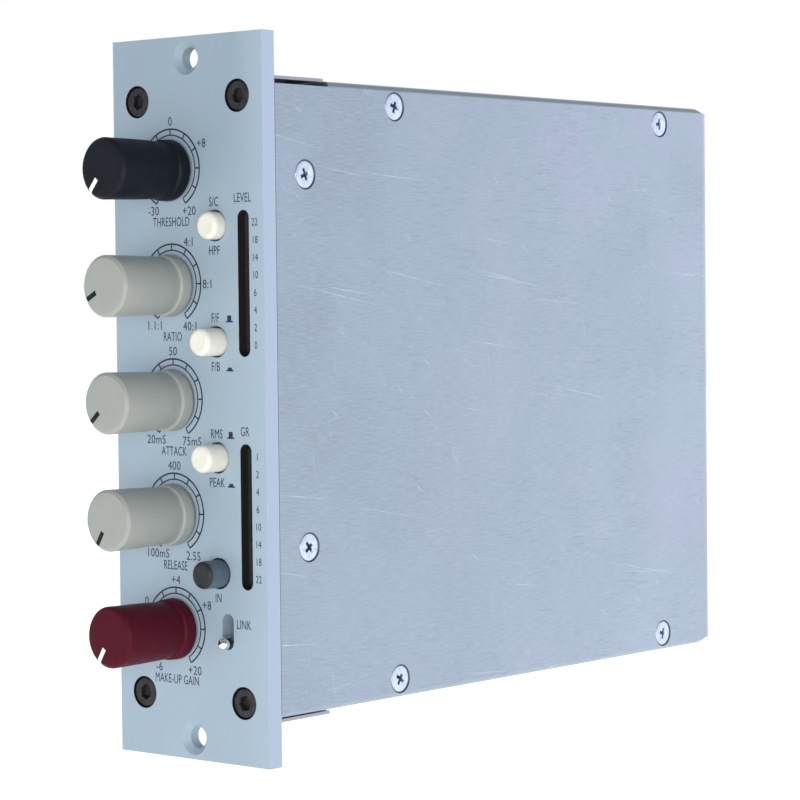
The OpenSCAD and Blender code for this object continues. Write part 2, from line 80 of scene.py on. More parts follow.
def joint_of(name):
    """The record's entry for one joint."""
    return next(j for j in RECORD["behaviour"]["joints"] if j["name"] == name)


def pointer_angle(knob):
    """Degrees from straight up at which a knob's pointer is stored, clockwise from the front."""
    half_turn = 150
    return -half_turn - joint_of(knob + "_turn")["range_deg"][0]


def solids_of(node):
    """Centre and box of each separate solid of a CAD node, in millimetres, highest first."""
    bm = bmesh.new()
    bm.from_mesh(NODES[node].data)
    bmesh.ops.remove_doubles(bm, verts=bm.verts, dist=0.005 * MM)
    left = set(bm.verts)
    found = []
    while left:
        edge_of_patch = [left.pop()]
        patch = list(edge_of_patch)
        while edge_of_patch:
            vert = edge_of_patch.pop()
            for edge in vert.link_edges:
                other = edge.other_vert(vert)
                if other in left:
                    left.remove(other)
                    edge_of_patch.append(other)
                    patch.append(other)
        low = Vector([min(v.co[i] for v in patch) for i in range(3)]) / MM
        high = Vector([max(v.co[i] for v in patch) for i in range(3)]) / MM
        found.append(((low + high) / 2, low, high))
    bm.free()
    return sorted(found, key=lambda s: (-round(s[0].z, 1), round(s[0].y, 1), round(s[0].x, 1)))


# ---------------------------------------------------------------- camera, light and floor

CAMERA_AT = (365.74, -377.61, 20.0)
CAMERA_TURN = (88.0186, 0.5848, 39.9145)
CAMERA_LENS = 127.586
CAMERA_SHIFT = (-0.009388, -0.016865)

# Brightness of the surroundings, from in front of the object (0) to behind it (1)
WORLD_AROUND = ((0.0, (0.11, 0.11, 0.12)), (0.20, (0.18, 0.20, 0.24)), (0.35, (0.30, 0.35, 0.43)),
                (0.60, (0.40, 0.42, 0.48)), (0.73, (0.47, 0.48, 0.52)), (0.80, (0.66, 0.67, 0.75)),
                (1.0, (0.78, 0.78, 0.82)))
# The same from level (0) to straight up (1)
WORLD_UPWARD = ((0.0, (1.0, 1.0, 1.0)), (0.15, (1.0, 1.0, 1.0)), (0.50, (0.62, 0.64, 0.67)),
                (1.0, (0.62, 0.65, 0.70)))
WORLD_STRENGTH = 1.9
# Direction from the object to the middle of the backdrop
BACKDROP_WAY = (-0.35, 0.94, 0.0)


def build_camera():
    data = bpy.data.cameras.new("camera")
    data.lens = CAMERA_LENS
    data.shift_x, data.shift_y = CAMERA_SHIFT
    data.clip_start, data.clip_end = 0.05, 20.0
    camera = bpy.data.objects.new("camera", data)
    camera.location = Vector(CAMERA_AT) * MM
    camera.rotation_euler = [math.radians(a) for a in CAMERA_TURN]
    bpy.context.scene.collection.objects.link(camera)
    bpy.context.scene.camera = camera


def colour_stops(tree, source, stops):
    """The colour that a ramp of (place, colour) stops gives for a source socket."""
    ramp = tree.nodes.new("ShaderNodeValToRGB")
    tree.links.new(source, ramp.inputs[0])
    elements = ramp.color_ramp.elements
    while len(elements) < len(stops):
        elements.new(0.5)
    for element, (place, colour) in zip(elements, stops):
        element.position = place
        element.color = (*colour, 1)
    return ramp.outputs["Color"]


def surroundings(tree):
    """Colour of the light from each direction: WORLD_AROUND times WORLD_UPWARD."""
    coords = tree.nodes.new("ShaderNodeTexCoord").outputs["Generated"]
    toward = tree.nodes.new("ShaderNodeVectorMath")
    toward.operation = "DOT_PRODUCT"
    toward.inputs[1].default_value = BACKDROP_WAY
    tree.links.new(coords, toward.inputs[0])
    place = tree.nodes.new("ShaderNodeMapRange")
    place.inputs["From Min"].default_value = -1.0
    tree.links.new(toward.outputs["Value"], place.inputs["Value"])
    split = tree.nodes.new("ShaderNodeSeparateXYZ")
    tree.links.new(coords, split.inputs[0])
    both = tree.nodes.new("ShaderNodeMix")
    both.data_type, both.blend_type = "RGBA", "MULTIPLY"
    both.inputs[0].default_value = 1.0
    tree.links.new(colour_stops(tree, place.outputs[0], WORLD_AROUND), both.inputs[6])
    tree.links.new(colour_stops(tree, split.outputs["Z"], WORLD_UPWARD), both.inputs[7])
    return both.outputs[2]


def build_world():
    """Light from a pale backdrop behind the object, a dimmer room in front of it and a darker
    ceiling. Where the camera sees past the object, it sees plain white instead."""
    world = bpy.data.worlds.new("studio")
    bpy.context.scene.world = world
    world.use_nodes = True
    tree = world.node_tree
    lit = tree.nodes["Background"]
    lit.inputs["Strength"].default_value = WORLD_STRENGTH
    tree.links.new(surroundings(tree), lit.inputs["Color"])
    seen = tree.nodes.new("ShaderNodeBackground")
    seen.inputs["Color"].default_value = (1, 1, 1, 1)
    choose = tree.nodes.new("ShaderNodeMixShader")
    tree.links.new(tree.nodes.new("ShaderNodeLightPath").outputs["Is Camera Ray"],
                   choose.inputs[0])
    tree.links.new(lit.outputs[0], choose.inputs[1])
    tree.links.new(seen.outputs[0], choose.inputs[2])
    tree.links.new(choose.outputs[0], tree.nodes["World Output"].inputs["Surface"])


def area_light(name, at, aim, size, power, tint=(1, 1, 1)):
    """A square softbox: at and aim in millimetres, size in millimetres, power in watts."""
    data = bpy.data.lights.new(name, "AREA")
    data.shape = "SQUARE"
    data.size = size * MM
    data.energy = power
    data.color = tint
    light = bpy.data.objects.new(name, data)
    light.location = Vector(at) * MM
    toward = (Vector(aim) - Vector(at)).normalized()
    light.rotation_euler = toward.to_track_quat("-Z", "Y").to_euler()
    bpy.context.scene.collection.objects.link(light)


def build_lights():
    """A large softbox in front and a small one by the camera; the backdrop does the rest."""
    area_light("softbox_key", (330, -740, -80), (0, 0, 0), 520, 3.7, (1.0, 0.99, 0.96))
    area_light("softbox_rim", (540, -580, 20), (0, 0, 0), 300, 1.3, (0.97, 0.98, 1.0))


FLOOR_DROP = 100.0
FLOOR_HALF = 4000.0


def build_floor():
    """A plain white table, well below the object, that glows a little like a lit light table."""
    bm = bmesh.new()
    z = PANEL_LOW.z - FLOOR_DROP
    corners = [bm.verts.new(Vector((sx * FLOOR_HALF, sy * FLOOR_HALF, z)) * MM)
               for sx, sy in ((-1, -1), (1, -1), (1, 1), (-1, 1))]
    bm.faces.new(corners)
    mesh = bpy.data.meshes.new("floor")
    bm.to_mesh(mesh)
    bm.free()
    floor = bpy.data.objects.new("floor", mesh)
    bpy.context.scene.collection.objects.link(floor)
    look = Look("floor_white", {"Roughness": 0.9, "Emission Color": (1, 1, 1, 1),
                                "Emission Strength": 0.86})
    grain = look.field(40.0)
    look.colour(look.ramp(grain, (0.3, (0.60, 0.60, 0.60)), (0.7, (0.62, 0.62, 0.62))))
    mesh.materials.append(look.mat)


# ---------------------------------------------------------------- material building

class Look:
    """One procedural material: a Principled shader and the fields that feed it.

    All sizes are in millimetres, measured in the piece's own coordinates."""

    def __init__(self, name, constants=()):
        self.mat = bpy.data.materials.new(name)
        self.mat.use_nodes = True
        self.tree = self.mat.node_tree
        self.shader = self.tree.nodes["Principled BSDF"]
        for socket, value in dict(constants).items():
            self.shader.inputs[socket].default_value = value
        self.coords = self.tree.nodes.new("ShaderNodeTexCoord").outputs["Object"]

    def feed(self, node, socket, value):
        """Links a socket to a node's input, or sets the input's plain value."""
        if isinstance(value, bpy.types.NodeSocket):
            self.tree.links.new(value, node.inputs[socket])
        else:
            node.inputs[socket].default_value = value

    def place(self, stretch=(1, 1, 1), turn=(0, 0, 0), shift=(0, 0, 0)):
        """The piece's coordinates in millimetres, turned and then divided by stretch."""
        turned = self.tree.nodes.new("ShaderNodeMapping")
        self.feed(turned, "Vector", self.coords)
        turned.inputs["Rotation"].default_value = [math.radians(a) for a in turn]
        turned.inputs["Scale"].default_value = (1 / MM,) * 3
        turned.inputs["Location"].default_value = shift
        scaled = self.tree.nodes.new("ShaderNodeMapping")
        self.feed(scaled, "Vector", turned.outputs[0])
        scaled.inputs["Scale"].default_value = [1 / s for s in stretch]
        return scaled.outputs[0]

    def field(self, size, stretch=(1, 1, 1), detail=3.0, rough=0.5, bend=0.0, shift=(0, 0, 0)):
        """Cloudy noise with features of about the given size."""
        noise = self.tree.nodes.new("ShaderNodeTexNoise")
        self.feed(noise, "Vector", self.place(stretch, shift=shift))
        noise.inputs["Scale"].default_value = 1 / size
        noise.inputs["Detail"].default_value = detail
        noise.inputs["Roughness"].default_value = rough
        noise.inputs["Distortion"].default_value = bend
        return noise.outputs["Fac"]

    def cells(self, size, stretch=(1, 1, 1), feature="F1", turn=(0, 0, 0), shift=(0, 0, 0)):
        """Distance to scattered points, or to the edges between them."""
        cells = self.tree.nodes.new("ShaderNodeTexVoronoi")
        cells.feature = feature
        self.feed(cells, "Vector", self.place(stretch, turn, shift))
        cells.inputs["Scale"].default_value = 1 / size
        return cells.outputs["Distance"]

    def scratches(self, length, width, turn, seed):
        """Scattered straight scratches on a face square to X, 1 on them and 0 off them."""
        reach = 0.08
        sparse = 0.45
        stretch = (sparse, length / 2 / reach, width / 2 / reach)
        near = self.cells(1.0, stretch, turn=(turn, 0, 0), shift=(seed, seed, seed))
        return self.span(near, reach * 0.3, reach, 1.0, 0.0)

    def axis(self, name):
        """One of the piece's coordinates in millimetres."""
        split = self.tree.nodes.new("ShaderNodeSeparateXYZ")
        self.feed(split, 0, self.place())
        return split.outputs[name]

    def off(self, name, centre, mirrored=False):
        """Distance along one axis from a centre, or from the nearer of it and its mirror."""
        along = self.axis(name)
        if mirrored:
            along = self.calc("ABSOLUTE", along)
        return self.calc("ABSOLUTE", self.calc("SUBTRACT", along, centre))

    def length(self, a, b):
        """Length of the flat vector (a, b)."""
        return self.calc("SQRT", self.calc("ADD", self.calc("MULTIPLY", a, a),
                                           self.calc("MULTIPLY", b, b)))

    def span(self, value, low, high, to_low=0.0, to_high=1.0):
        """The value mapped from low..high to to_low..to_high, smooth and held at both ends."""
        node = self.tree.nodes.new("ShaderNodeMapRange")
        node.interpolation_type = "SMOOTHSTEP"
        self.feed(node, "Value", value)
        for socket, number in (("From Min", low), ("From Max", high),
                               ("To Min", to_low), ("To Max", to_high)):
            node.inputs[socket].default_value = number
        return node.outputs["Result"]

    def calc(self, how, a, b=0.0):
        """One sum of two values."""
        node = self.tree.nodes.new("ShaderNodeMath")
        node.operation = how
        self.feed(node, 0, a)
        self.feed(node, 1, b)
        return node.outputs[0]

    def ramp(self, value, *stops):
        """A colour that changes with the value; each stop is a place and a colour."""
        return colour_stops(self.tree, value, stops)

    def mix(self, factor, a, b):
        """Colour a with colour b laid over it by factor."""
        node = self.tree.nodes.new("ShaderNodeMix")
        node.data_type = "RGBA"
        self.feed(node, 0, factor)
        for index, value in ((6, a), (7, b)):
            if not isinstance(value, bpy.types.NodeSocket):
                value = (*value, 1)
            self.feed(node, index, value)
        return node.outputs[2]

    def colour(self, socket):
        self.feed(self.shader, "Base Color", socket)

    def rough(self, socket):
        self.feed(self.shader, "Roughness", socket)

    def relief(self, *layers):
        """Bump from height fields; each layer is a field and its height in millimetres."""
        normal = None
        for height, depth in layers:
            node = self.tree.nodes.new("ShaderNodeBump")
            node.inputs["Strength"].default_value = 1.0
            node.inputs["Distance"].default_value = depth * MM
            self.feed(node, "Height", height)
            if normal is not None:
                self.feed(node, "Normal", normal)
            normal = node.outputs[0]
        self.feed(self.shader, "Normal", normal)


def tinted(colour, factor):
    """A colour made darker or lighter."""
    return tuple(min(1.0, c * factor) for c in colour)


# ---------------------------------------------------------------- the materials

def moulded_plastic(name, colour, rough=0.5, spread=0.03, gloss=0.4):
    """Moulded plastic: faint mottling, a fine matt grain and broad smears in the gloss."""
    look = Look(name, {"Specular IOR Level": gloss})
    mottle = look.field(1.1, detail=5, rough=0.65)
    fine = look.field(0.08, detail=2)
    smear = look.field(5.0, detail=3, bend=0.6, shift=(7, 3, 1))
    base = look.ramp(mottle, (0.3, tinted(colour, 1 - spread)), (0.7, tinted(colour, 1 + spread)))
    specks = look.span(look.cells(0.9), 0.03, 0.08, 0.06, 0.0)
    look.colour(look.mix(specks, base, tinted(colour, 1.5)))
    look.rough(look.span(smear, 0.3, 0.7, rough - 0.07, rough + 0.08))
    look.relief((mottle, 0.003), (fine, 0.004))
    return look.mat


def panel_openings(look):
    """1 on the walls of the panel's screw counterbores and light slots, where black shade is
    painted, 0 on its faces.
    """
    centre, low, high = solids_of("panel_screws")[0]
    bore_r = (high.x - low.x) / 2 + 0.25
    bore = look.length(look.off("X", abs(centre.x), True), look.off("Z", abs(centre.z), True))
    in_bore = look.span(bore, bore_r, bore_r + 0.04, 1.0, 0.0)
    low, high, centre = low_mm("level_window"), high_mm("level_window"), middle_mm("level_window")
    half_w, half_h = (high.x - low.x) / 2 + 0.08, (high.z - low.z) / 2 + 0.08
    past_end = look.calc("SUBTRACT", look.off("Z", centre.z, True), half_h - half_w)
    slot = look.length(look.off("X", centre.x), look.calc("MAXIMUM", past_end, 0.0))
    in_slot = look.span(slot, half_w, half_w + 0.04, 1.0, 0.0)
    return look.calc("MAXIMUM", in_bore, in_slot)


def panel_paint():
    """Pale blue-grey powder coat: orange peel, slight clouding and a few pale specks of dust.
    Painted shade makes it deeper towards the top, and painted light makes it paler by the
    right-hand edge and on the side edges. The walls of the screw counterbores and of the light
    slots are painted black as shade."""
    colour = (0.330, 0.418, 0.480)
    look = Look("panel_paint", {"Specular IOR Level": 0.40})
    cloud = look.field(16.0, detail=3)
    peel = look.field(0.55, detail=2)
    fine = look.field(0.12, detail=2)
    base = look.ramp(cloud, (0.25, tinted(colour, 0.95)), (0.75, tinted(colour, 1.05)))
    base = look.mix(look.span(fine, 0.35, 0.75, 0.0, 0.10), base, tinted(colour, 1.25))
    # Painted shade: the coat is painted darker towards the top.
    base = look.mix(look.span(look.axis("Z"), 5.0, 66.0, 0.0, 0.28), base, tinted(colour, 0.5))
    # Painted light: the coat is painted paler towards the right-hand edge.
    base = look.mix(look.span(look.axis("X"), 11.0, 19.0, 0.0, 0.5), base, tinted(colour, 1.14))
    # Painted light: both side edges are painted a paler, bluer colour than the front.
    edge = look.span(look.calc("ABSOLUTE", look.axis("X")), PANEL_HIGH.x - 0.2, PANEL_HIGH.x - 0.02)
    base = look.mix(edge, base, (0.42, 0.49, 0.61))
    dust = look.span(look.cells(2.4), 0.016, 0.034, 0.45, 0.0)
    base = look.mix(dust, base, (0.62, 0.68, 0.74))
    # Painted shade: the walls of the counterbores and light slots are painted black.
    look.colour(look.mix(panel_openings(look), base, (0.012, 0.012, 0.013)))
    look.rough(look.span(cloud, 0.3, 0.7, 0.42, 0.52))
    look.relief((peel, 0.010), (fine, 0.003))
    return look.mat


# Turn, length, width, seed and strength of each family of scratches on zinc sheet
SCRATCHES = ((4, 30, 0.19, 3, 0.75), (7, 20, 0.15, 14, 0.70), (-5, 12, 0.12, 25, 0.40),
             (10, 36, 0.16, 8, 0.60), (82, 9, 0.12, 37, 0.40), (38, 4, 0.18, 52, 0.60))


def brushed_zinc(name, along, worn=1.0, tint=(0.432, 0.500, 0.585)):
    """Zinc-plated sheet: brushed along one axis, passivation clouds, nicks and fine scratches.

    along is the stretch of the brushing, so its longest number is the brushed direction."""
    look = Look(name, {"Metallic": 0.88, "Specular IOR Level": 0.5})
    broad = look.field(34.0, detail=2)
    violet = look.field(21.0, detail=3, shift=(11, 4, 6))
    green = look.field(40.0, detail=3, shift=(31, 17, 3))
    brush = look.field(0.20, along, detail=3, rough=0.6)
    streak = look.field(0.36, along, detail=4, rough=0.75, shift=(2, 8, 5))
    grit = look.field(0.5, detail=3, rough=0.7)
    # Painted shade and light: the sheet is painted darker towards the front and brighter towards the
    # rear, as a reflection of a bright backdrop behind it would make it; the violet passivation
    # clouds follow the same mask.
    deeper = look.span(look.axis("Y"), 5.0, 130.0)
    base = look.mix(deeper, tinted(tint, 0.77), tinted(tint, 0.97))
    base = look.mix(look.span(broad, 0.35, 0.65, 0.0, 0.6), base, tinted(tint, 0.94))
    violet_here = look.calc("MULTIPLY", deeper, look.span(violet, 0.46, 0.66, 0.0, 0.42 * worn))
    base = look.mix(violet_here, base, (0.46, 0.46, 0.59))
    base = look.mix(look.span(green, 0.48, 0.66, 0.0, 0.35 * worn), base, (0.34, 0.42, 0.45))
    base = look.mix(look.span(brush, 0.38, 0.70, 0.0, 0.24), base, tinted(tint, 1.5))
    patchy = look.span(look.field(15.0, detail=2, shift=(5, 23, 9)), 0.40, 0.62, 0.16, 0.50)
    dark_streak = look.calc("MULTIPLY", look.span(streak, 0.50, 0.66), patchy)
    base = look.mix(dark_streak, base, tinted(tint, 0.70))
    for turn, long, wide, seed, strength in SCRATCHES:
        line = look.scratches(long, wide, turn, seed)
        where = look.span(look.field(3.0, detail=2, shift=(seed, 5, 9)), 0.36, 0.56, 0.25, 1.0)
        mask = look.calc("MULTIPLY", look.calc("MULTIPLY", line, where), strength * worn)
        base = look.mix(mask, base, tinted(tint, 1.75))
    nicks = look.span(look.cells(3.1, (1, 1.8, 0.9)), 0.020, 0.040, 0.35 * worn, 0.0)
    base = look.mix(nicks, base, tinted(tint, 1.7))
    uneven = look.calc("ADD", look.span(broad, 0.3, 0.7, 0.0, 0.06),
                       look.span(brush, 0.3, 0.7, 0.36, 0.48))
    look.rough(uneven)
    look.relief((brush, 0.003), (streak, 0.006), (grit, 0.002))
    return look, base


def cover_zinc():
    """The side cover's sheet, with painted shade on the walls of its countersinks and on its upper
    fold.
    """
    look, base = brushed_zinc("cover_zinc", (1, 14, 1))
    nearest = 1000.0
    for centre, _, _ in solids_of("cover_screws"):
        away = look.length(look.off("Y", centre.y), look.off("Z", centre.z))
        nearest = look.calc("MINIMUM", away, nearest)
    # Painted shade: a dark ring is painted on the countersink walls round each screw.
    sink_r = 2.72
    ring = look.span(nearest, sink_r, sink_r + 0.12, 1.0, 0.0)
    base = look.mix(ring, base, (0.085, 0.105, 0.130))
    # Painted shade: the upper fold is painted darker than the flat sheet; dull is the colour of that
    # shade.
    top = high_mm("side_cover").z
    fold_foot, fold_crest = top - 1.0, top - 0.25
    height = look.axis("Z")
    fold = look.calc("MULTIPLY", look.span(height, fold_foot - 0.15, fold_foot + 0.15),
                     look.span(height, fold_crest - 0.2, fold_crest + 0.2, 1.0, 0.1))
    dull = (0.225, 0.265, 0.255)
    look.colour(look.mix(look.calc("MULTIPLY", fold, 0.85), base, dull))
    return look.mat


def plain_zinc(name, along, worn, tint):
    """Zinc-plated sheet without any holes to darken."""
    look, base = brushed_zinc(name, along, worn, tint)
    look.colour(base)
    return look.mat


def bright_zinc(name, face_x=None):
    """Screw heads: bright bluish plating, mottled, with small dull spots. Where face_x is
    given, the driver recesses below heads at that distance from x = 0 are painted dark blue as
    shade."""
    colour = (0.66, 0.74, 0.86)
    look = Look(name, {"Metallic": 0.85})
    patch = look.field(1.1, detail=3)
    fine = look.field(0.12, detail=3, shift=(4, 1, 2))
    base = look.ramp(patch, (0.3, tinted(colour, 0.86)), (0.7, tinted(colour, 1.10)))
    base = look.mix(look.span(fine, 0.55, 0.7, 0.0, 0.25), base, (0.42, 0.50, 0.58))
    # Painted shade: dark blue in the driver recesses.
    if face_x is not None:
        height = look.calc("ABSOLUTE", look.axis("X"))
        recess = look.span(height, face_x - 0.36, face_x - 0.12, 1.0, 0.0)
        rim = look.span(look.cells(0.6), 0.1, 0.4, 1.0, 0.92)
        base = look.mix(look.calc("MULTIPLY", recess, rim), base, (0.030, 0.085, 0.135))
    look.colour(base)
    look.rough(look.span(fine, 0.3, 0.7, 0.26, 0.42))
    look.relief((patch, 0.008), (fine, 0.003))
    return look.mat


def black_oxide():
    """Black socket screws: dark oxide with a faint brown wear."""
    look = Look("black_oxide", {"Metallic": 0.35, "Specular IOR Level": 0.4})
    patch = look.field(0.9, detail=4)
    fine = look.field(0.10, detail=2)
    base = look.ramp(patch, (0.3, (0.014, 0.014, 0.016)), (0.75, (0.046, 0.042, 0.041)))
    look.colour(base)
    look.rough(look.span(fine, 0.3, 0.7, 0.36, 0.52))
    look.relief((patch, 0.006), (fine, 0.003))
    return look.mat


def chrome():
    """Polished lever: nearly a mirror, with hairlines and a slight haze."""
    look = Look("chrome", {"Metallic": 1.0})
    haze = look.field(0.8, detail=3)
    hair = look.field(0.05, (1, 8, 1), detail=2)
    look.colour(look.ramp(haze, (0.3, (0.72, 0.73, 0.75)), (0.7, (0.86, 0.87, 0.88))))
    look.rough(look.span(hair, 0.3, 0.7, 0.06, 0.13))
    look.relief((haze, 0.001))
    return look.mat


def turned_metal(name, colour, rough=0.35):
    """Turned metal: rings round the axis from the lathe and a mottled sheen."""
    look = Look(name, {"Metallic": 0.95})
    rings = look.field(0.16, (30, 1, 30), detail=2)
    patch = look.field(2.0, detail=3)
    base = look.ramp(patch, (0.3, tinted(colour, 0.9)), (0.7, tinted(colour, 1.08)))
    look.colour(look.mix(look.span(rings, 0.4, 0.7, 0.0, 0.2), base, tinted(colour, 0.7)))
    look.rough(look.span(patch, 0.3, 0.7, rough - 0.06, rough + 0.08))
    look.relief((rings, 0.006))
    return look.mat


def printed_ink():
    """Screen-printed legend ink: blue-black, a little uneven in thickness."""
    look = Look("printed_ink", {"Specular IOR Level": 0.3})
    body = look.field(0.35, detail=3)
    look.colour(look.ramp(body, (0.3, (0.010, 0.016, 0.034)), (0.7, (0.020, 0.030, 0.055))))
    look.rough(look.span(body, 0.3, 0.7, 0.45, 0.6))
    look.relief((body, 0.003))
    return look.mat


def smoked_acrylic():
    """Smoked strips over the lights: near black, glossy, with faint moulding waves."""
    look = Look("smoked_acrylic", {"Specular IOR Level": 0.45})
    wave = look.field(2.5, (1, 1, 2.5), detail=2)
    base = look.ramp(wave, (0.3, (0.018, 0.017, 0.018)), (0.7, (0.030, 0.027, 0.027)))
    look.colour(base)
    look.rough(look.span(wave, 0.3, 0.7, 0.22, 0.34))
    look.relief((wave, 0.01))
    return look.mat


def board_laminate():
    """Circuit board: green solder mask over a woven texture, with tracks as lighter lines."""
    look = Look("board_laminate", {"Specular IOR Level": 0.55})
    weave_y = look.field(0.4, (1, 14, 1), detail=1)
    weave_z = look.field(0.4, (1, 1, 14), detail=1, shift=(3, 3, 3))
    weave = look.calc("ADD", weave_y, weave_z)
    blocks = look.cells(4.2, (1, 2.4, 1), feature="DISTANCE_TO_EDGE")
    tracks = look.span(blocks, 0.03, 0.05, 1.0, 0.0)
    base = look.ramp(look.field(12.0), (0.3, (0.012, 0.085, 0.035)), (0.7, (0.018, 0.115, 0.05)))
    base = look.mix(look.calc("MULTIPLY", tracks, 0.5), base, (0.045, 0.20, 0.085))
    look.colour(look.mix(look.span(weave, 0.9, 1.2, 0.0, 0.2), base, (0.03, 0.16, 0.07)))
    look.rough(look.span(weave, 0.8, 1.2, 0.28, 0.42))
    look.relief((tracks, 0.03), (weave, 0.004))
    return look.mat


def lamp_lens(name, colour):
    """Small diffused light: coloured resin that is darker at its core, not lit."""
    look = Look(name, {"Specular IOR Level": 0.5, "Subsurface Weight": 0.15,
                       "Subsurface Scale": 0.001})
    body = look.field(0.7, detail=3)
    look.colour(look.ramp(body, (0.3, tinted(colour, 0.6)), (0.7, tinted(colour, 1.1))))
    look.rough(look.span(body, 0.3, 0.7, 0.2, 0.35))
    look.relief((body, 0.01))
    return look.mat


def wound_core():
    """Transformer: stacked laminations with varnish runs."""
    look = Look("wound_core", {"Metallic": 0.4})
    sheets = look.field(0.35, (1, 25, 25), detail=1)
    varnish = look.field(4.0, detail=4)
    base = look.ramp(sheets, (0.35, (0.05, 0.045, 0.045)), (0.65, (0.14, 0.13, 0.125)))
    look.colour(look.mix(look.span(varnish, 0.5, 0.7, 0.0, 0.5), base, (0.16, 0.09, 0.04)))
    look.rough(look.span(varnish, 0.3, 0.7, 0.3, 0.6))
    look.relief((sheets, 0.05))
    return look.mat


# ---------------------------------------------------------------- mesh building

def arc(centre_r, centre_y, radius, start, stop, steps):
    """Points of a circular arc in a turned outline; angles in degrees from the outward radius."""
    points = []
    for i in range(steps + 1):
        a = math.radians(start + (stop - start) * i / steps)
        points.append((centre_r + radius * math.cos(a), centre_y + radius * math.sin(a)))
    return points


def lathe(bm, outline, steps=96):
    """Turns an outline of (radius, place along +Y) points about the Y axis, in millimetres."""
    rings = []
    for radius, along in outline:
        if radius < 1e-6:
            rings.append([bm.verts.new((0, along, 0))])
            continue
        ring = []
        for i in range(steps):
            a = 2 * math.pi * i / steps
            ring.append(bm.verts.new((radius * math.sin(a), along, radius * math.cos(a))))
        rings.append(ring)
    for one, two in zip(rings, rings[1:]):
        for i in range(steps):
            j = (i + 1) % steps
            corners = [one[i % len(one)], one[j % len(one)], two[j % len(two)], two[i % len(two)]]
            unique = list(dict.fromkeys(corners))
            if len(unique) > 2:
                bm.faces.new(unique)
    bmesh.ops.recalc_face_normals(bm, faces=bm.faces)


def stack(bm, layers):
    """A closed solid through layers of equally many points, in millimetres."""
    rings = [[bm.verts.new(point) for point in layer] for layer in layers]
    bm.faces.new(rings[0][::-1])
    bm.faces.new(rings[-1])
    for one, two in zip(rings, rings[1:]):
        for i in range(len(one)):
            j = (i + 1) % len(one)
            bm.faces.new((one[i], one[j], two[j], two[i]))
    bmesh.ops.recalc_face_normals(bm, faces=bm.faces)


def prism(bm, outline, low, high, place):
    """A straight bar with a flat outline; place turns (u, v, w) into a point in millimetres."""
    stack(bm, [[place(u, v, end) for u, v in outline] for end in (low, high)])


def mesh_from(bm, name):
    """A mesh from a bmesh, which is freed."""
    mesh = bpy.data.meshes.new(name)
    bm.to_mesh(mesh)
    bm.free()
    return mesh


def smooth(mesh, sharp_from=32):
    """Smooth shading with sharp edges kept where faces meet at more than the angle."""
    mesh.polygons.foreach_set("use_smooth", [True] * len(mesh.polygons))
    mesh.set_sharp_from_angle(angle=math.radians(sharp_from))


def carved(body, *cutters):
    """The body mesh with the cutters' meshes taken away; all three are used up."""
    holder = bpy.data.objects.new("carving", body)
    bpy.context.scene.collection.objects.link(holder)
    tools = []
    for cutter in cutters:
        tool = bpy.data.objects.new("cutter", cutter)
        bpy.context.scene.collection.objects.link(tool)
        change = holder.modifiers.new("cut", "BOOLEAN")
        change.operation = "DIFFERENCE"
        change.solver = "EXACT"
        change.object = tool
        tools.append(tool)
    bpy.context.view_layer.update()
    depsgraph = bpy.context.evaluated_depsgraph_get()
    result = bpy.data.meshes.new_from_object(holder.evaluated_get(depsgraph))
    for thing in (holder, *tools):
        mesh = thing.data
        bpy.data.objects.remove(thing)
        bpy.data.meshes.remove(mesh)
    return result


def gather(meshes_and_moves, name):
    """One mesh of several, each moved by its matrix, still in millimetres."""
    bm = bmesh.new()
    for mesh, move in meshes_and_moves:
        start = len(bm.verts)
        bm.from_mesh(mesh)
        bm.verts.ensure_lookup_table()
        for vert in bm.verts[start:]:
            vert.co = move @ vert.co
    return mesh_from(bm, name)


def piece(name, mesh, material, body, slot, *nodes, move=None):
    """Makes a shown piece from a mesh in millimetres, riding on a body and standing for nodes."""
    mesh.transform(Matrix.Scale(MM, 4) @ (move or Matrix.Identity(4)))
    mesh.materials.clear()
    mesh.materials.append(material)
    smooth(mesh)
    obj = bpy.data.objects.new(name, mesh)
    bpy.context.scene.collection.objects.link(obj)
    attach(obj, body)
    if nodes:
        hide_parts(*nodes)
    return obj


# ---------------------------------------------------------------- knobs

KNOB_RIM = 0.55
RIM_SOFT = 0.10
GRIP_INSIDE_SKIRT = 0.075
POINTER_W = 0.95
POINTER_START = 2.4
POINTER_DROP = 1.2
GROOVE = 0.3
PAINT_SUNK = 0.06


def rim_points(grip_r, inset=0.0):
    """The bevelled rim between face and side, softened at both ends; inset draws it inwards."""
    r, soft = grip_r - inset, RIM_SOFT
    turn_in = 0.4 * inset
    return [(r - KNOB_RIM - soft + turn_in, inset), (r - KNOB_RIM + turn_in, 0.02 + inset),
            (r - KNOB_RIM + soft * 0.7 + turn_in, soft * 0.8 + inset),
            (r - soft * 0.8, KNOB_RIM - soft * 0.7 + inset * 0.6),
            (r - 0.02, KNOB_RIM + inset * 0.6), (r, KNOB_RIM + soft + inset * 0.6)]


